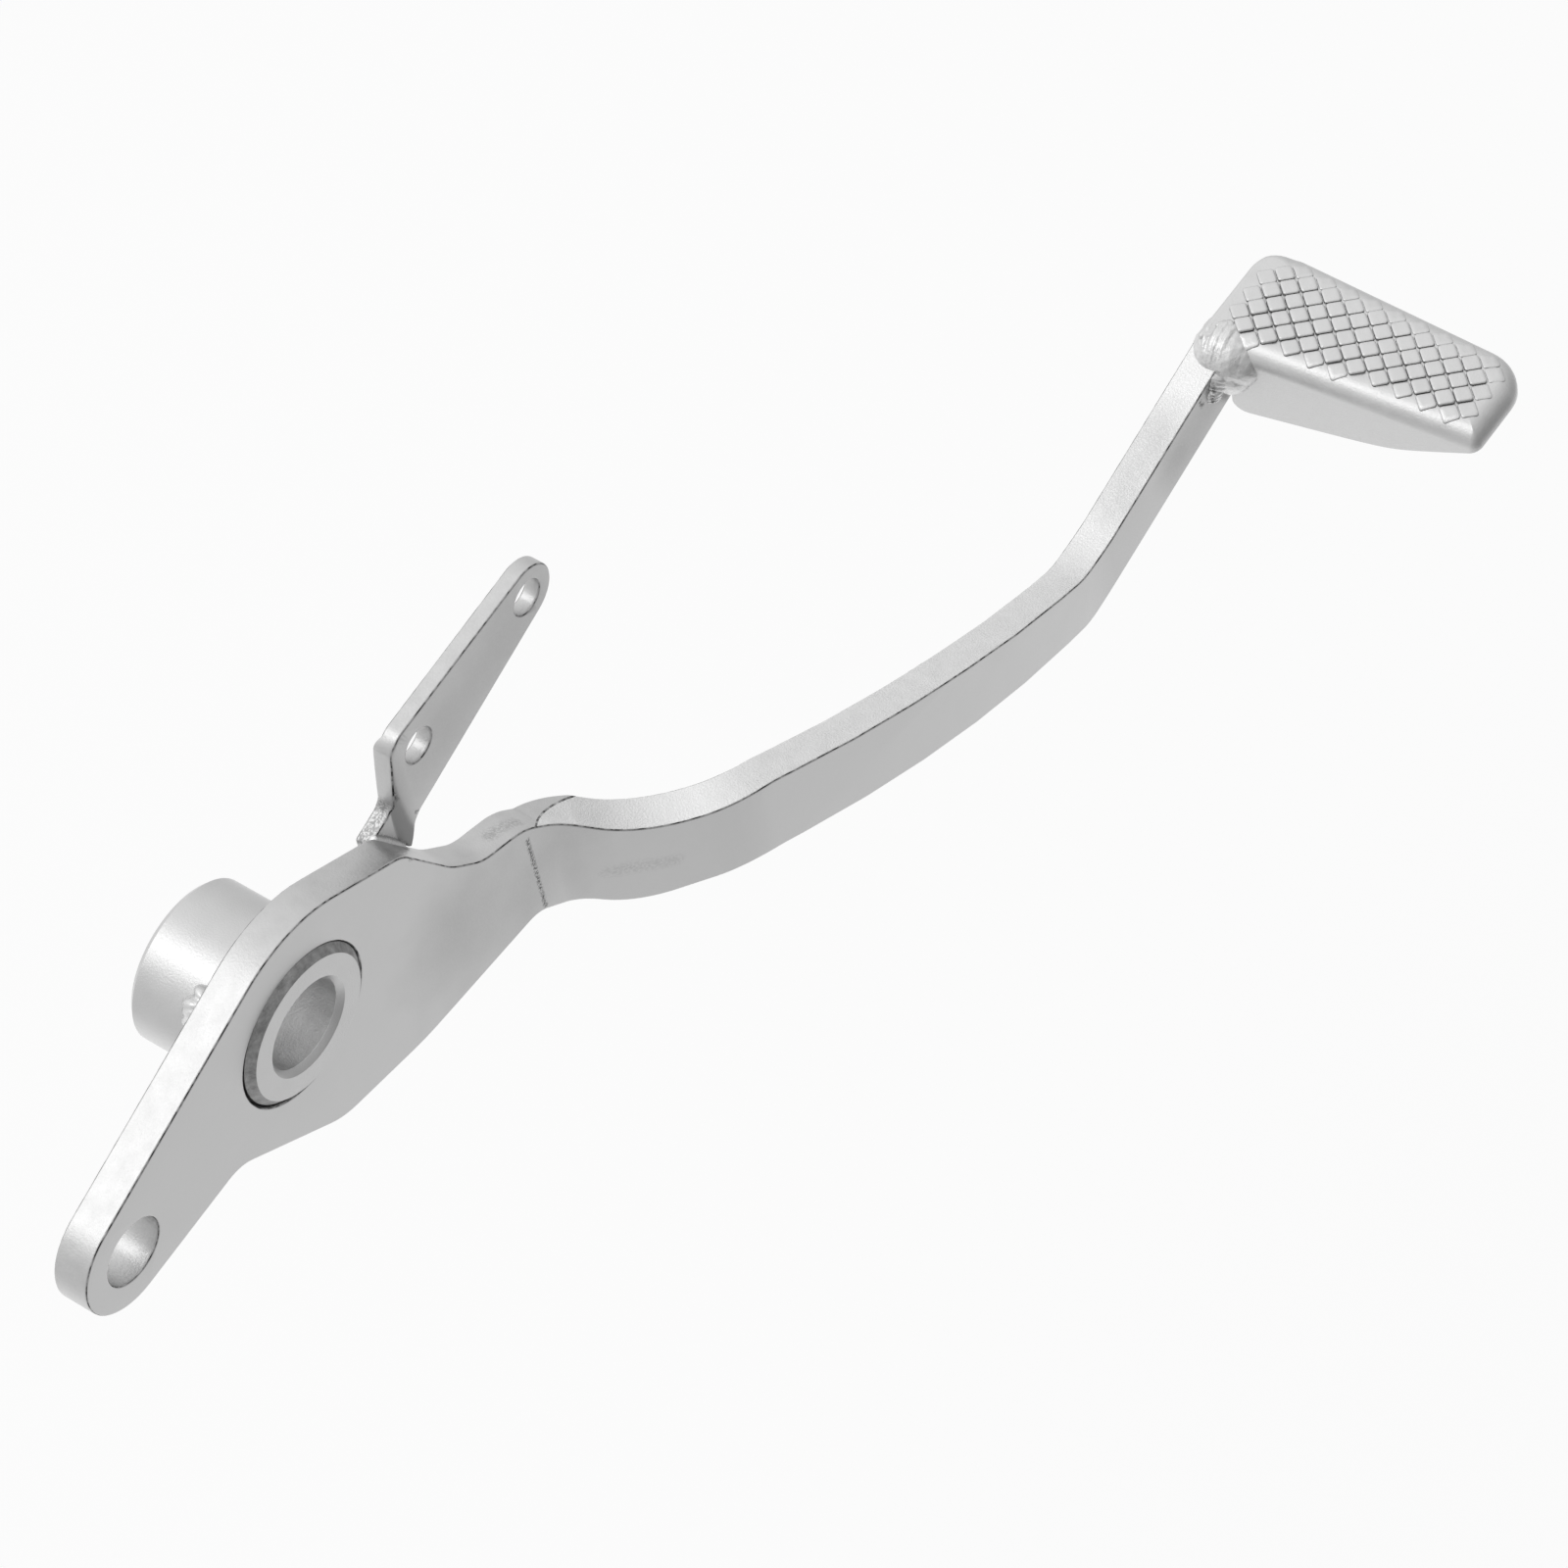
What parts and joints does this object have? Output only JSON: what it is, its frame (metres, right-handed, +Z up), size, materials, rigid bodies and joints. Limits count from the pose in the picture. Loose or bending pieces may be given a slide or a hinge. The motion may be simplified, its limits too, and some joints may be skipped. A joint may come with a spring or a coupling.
{
  "type": "rear brake pedal",
  "caption": "Motorcycle rear brake pedal: joggled steel lever with a pivot tube and brake rod lug at the back, a slim switch bracket, and a diamond-tread foot pad at the front.",
  "frame": {"origin": "on the pivot axis, in the outboard face of the lever plate", "axes": "+X forward, from the pivot towards the foot pad; +Y inboard, along the pivot axis; +Z up, along the fold lines of the lever"},
  "size_m": [0.2793, 0.0815, 0.1215],
  "materials": {
    "zinc_plate": "bright zinc over rolled and sheared steel plate",
    "zinc_tube": "bright zinc over turned steel tube",
    "zinc_pad": "bright zinc over pressed steel sheet",
    "zinc_weld": "bright zinc over rippled weld bead"
  },
  "bodies": {
    "root": {"lever_plate": "zinc_plate", "pivot_tube": "zinc_tube", "switch_bracket": "zinc_plate", "foot_pad": "zinc_pad", "tube_weld": "zinc_weld", "bracket_weld": "zinc_weld", "pad_weld": "zinc_weld"}
  },
  "joints": []
}
